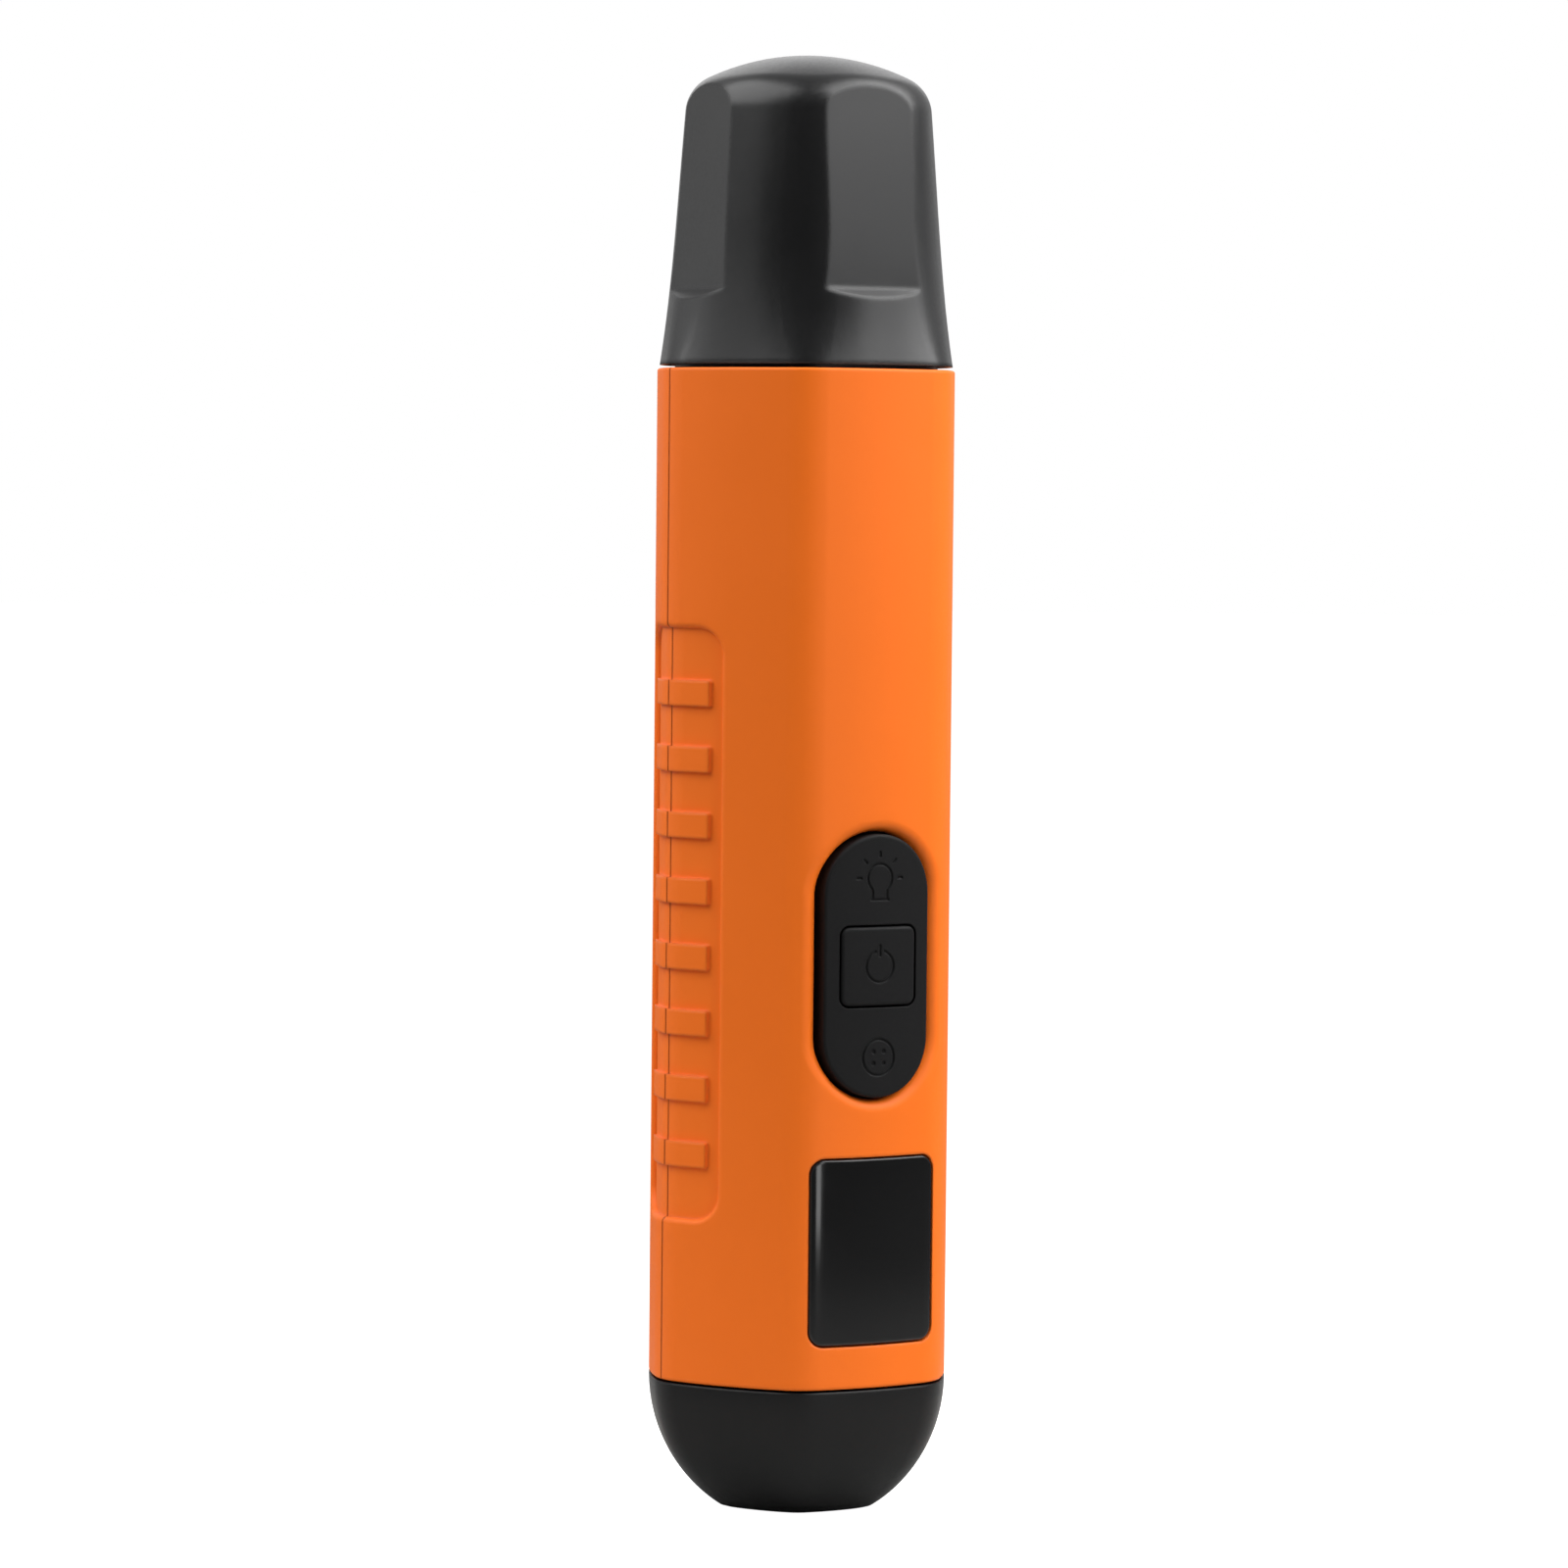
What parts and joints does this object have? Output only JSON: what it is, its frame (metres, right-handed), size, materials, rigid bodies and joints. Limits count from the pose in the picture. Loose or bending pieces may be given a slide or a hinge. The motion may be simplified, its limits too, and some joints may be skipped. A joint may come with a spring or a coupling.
{
  "type": "non contact voltage tester",
  "caption": "Hexagonal hand-held voltage tester with a domed pull-off cap, display window, rocker keypad, side grips and a rounded pull-out battery tail.",
  "frame": {"origin": "centre of the flat tail end that the tester stands on", "axes": "+Z along the body from the tail to the cap, -Y out of the face with the display and the keys, +X to the right seen from the front"},
  "size_m": [0.0434, 0.0414, 0.2],
  "materials": {
    "casing_orange": "satin moulded",
    "cap_black": "satin moulded",
    "tail_black": "satin moulded",
    "nose_black": "satin moulded",
    "key_black": "soft matte",
    "window_black": "polished",
    "seal_rubber": "matte",
    "silicone_grey": "matte",
    "strip_rubber": "matte",
    "display_glass": "polished",
    "light_guide": "polished",
    "inner_white": "moulded",
    "screw_steel": "zinc plated",
    "spring_steel": "nickel plated",
    "contact_brass": "gold plated",
    "antenna_copper": "rolled",
    "switch_black": "moulded",
    "board_green": "solder mask",
    "chip_black": "moulded epoxy",
    "chip_ceramic": "sintered",
    "tip_white": "translucent",
    "lens_clear": "polished",
    "reflector_bright": "metallised",
    "led_red": "diffused",
    "led_white": "phosphor",
    "sled_black": "moulded",
    "cell_wrap": "printed sleeve"
  },
  "bodies": {
    "main": {"front_shell": "casing_orange", "rear_shell": "casing_orange", "shell_screws": "screw_steel", "display_window": "window_black", "window_gasket": "seal_rubber", "lcd_panel": "display_glass", "lcd_backlight": "light_guide", "lcd_connector": "strip_rubber", "lcd_frame": "inner_white", "rocker_pins": "screw_steel", "keypad_seal": "silicone_grey", "tact_switches": "switch_black", "main_board": "board_green", "board_screws": "screw_steel", "board_chips": "chip_black", "board_passives": "chip_ceramic", "buzzer": "switch_black", "board_link": "contact_brass", "battery_contacts": "contact_brass", "nose_housing": "nose_black", "cap_seal": "seal_rubber", "probe_tip": "tip_white", "antenna_plate": "antenna_copper", "alarm_led": "led_red", "torch_lens": "lens_clear", "torch_reflector": "reflector_bright", "torch_led": "led_white", "nose_board": "board_green", "nose_screws": "screw_steel"},
    "cap": {"probe_cap": "cap_black"},
    "power_button": {"power_key": "key_black"},
    "rocker": {"function_rocker": "key_black"},
    "battery_tail": {"tail_cap": "tail_black", "tail_gasket": "seal_rubber", "battery_sled": "sled_black", "sled_screw": "screw_steel", "battery_cells": "cell_wrap", "contact_springs": "spring_steel", "contact_plates": "spring_steel"}
  },
  "joints": [
    {"name": "cap_pull", "type": "slide", "parent": "main", "child": "cap", "axis": [0, 0, 1], "range_m": [0, 0.045]},
    {"name": "power_press", "type": "slide", "parent": "main", "child": "power_button", "axis": [0, 1, 0], "range_m": [0, 0.0005], "stiffness_N_per_m": 1200, "springref_m": -0.0002},
    {"name": "rocker_tilt", "type": "hinge", "parent": "main", "child": "rocker", "pos_m": [0, -0.0149, 0.0759], "axis": [1, 0, 0], "range_deg": [-1.5, 1.5], "stiffness_Nm_per_rad": 0.4},
    {"name": "tail_pull", "type": "slide", "parent": "main", "child": "battery_tail", "axis": [0, 0, -1], "range_m": [0, 0.058]}
  ]
}
